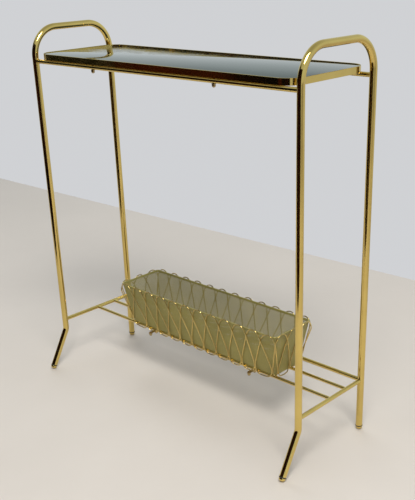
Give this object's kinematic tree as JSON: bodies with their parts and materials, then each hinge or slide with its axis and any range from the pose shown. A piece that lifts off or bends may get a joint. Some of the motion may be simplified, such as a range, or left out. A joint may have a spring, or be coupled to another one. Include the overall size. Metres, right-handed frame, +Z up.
{
  "type": "magazine rack",
  "caption": "Brass tube console table with a dark glass tray top and a looped-wire magazine basket on low rods",
  "frame": {"origin": "on the floor, below the middle of the stand's outline", "axes": "+X from the left end to the right, +Y from the front to the rear, +Z up"},
  "size_m": [0.7432, 0.2678, 0.7997],
  "materials": {
    "polished_brass": "polished",
    "aged_brass": "darkened",
    "perforated_sheet": "perforated, satin",
    "dark_glass": "polished black",
    "dark_ring": "matt"
  },
  "bodies": {
    "root": {"basket_liner": "perforated_sheet", "basket_wire": "polished_brass", "clamp_nut_left_front": "aged_brass", "clamp_nut_left_rear": "aged_brass", "clamp_nut_right_front": "aged_brass", "clamp_nut_right_rear": "aged_brass", "clamp_plate_left": "aged_brass", "clamp_plate_right": "aged_brass", "clamp_screw_left_front": "aged_brass", "clamp_screw_left_rear": "aged_brass", "clamp_screw_right_front": "aged_brass", "clamp_screw_right_rear": "aged_brass", "cross_bar_left": "polished_brass", "cross_bar_right": "polished_brass", "foot_cap_left_front": "polished_brass", "foot_cap_left_rear": "polished_brass", "foot_cap_right_front": "polished_brass", "foot_cap_right_rear": "polished_brass", "foot_ring_left_front": "dark_ring", "foot_ring_left_rear": "dark_ring", "foot_ring_right_front": "dark_ring", "foot_ring_right_rear": "dark_ring", "glass_top": "dark_glass", "left_end_frame": "polished_brass", "lower_rail_rear": "polished_brass", "right_end_frame": "polished_brass", "shelf_rod_front": "polished_brass", "shelf_rod_middle": "polished_brass", "top_rail_front": "polished_brass", "top_rail_rear": "polished_brass", "tray_band": "polished_brass", "tray_nut_left_front": "aged_brass", "tray_nut_left_rear": "aged_brass", "tray_nut_right_front": "aged_brass", "tray_nut_right_rear": "aged_brass", "tray_screw_left_front": "aged_brass", "tray_screw_left_rear": "aged_brass", "tray_screw_right_front": "aged_brass", "tray_screw_right_rear": "aged_brass"}
  },
  "joints": []
}
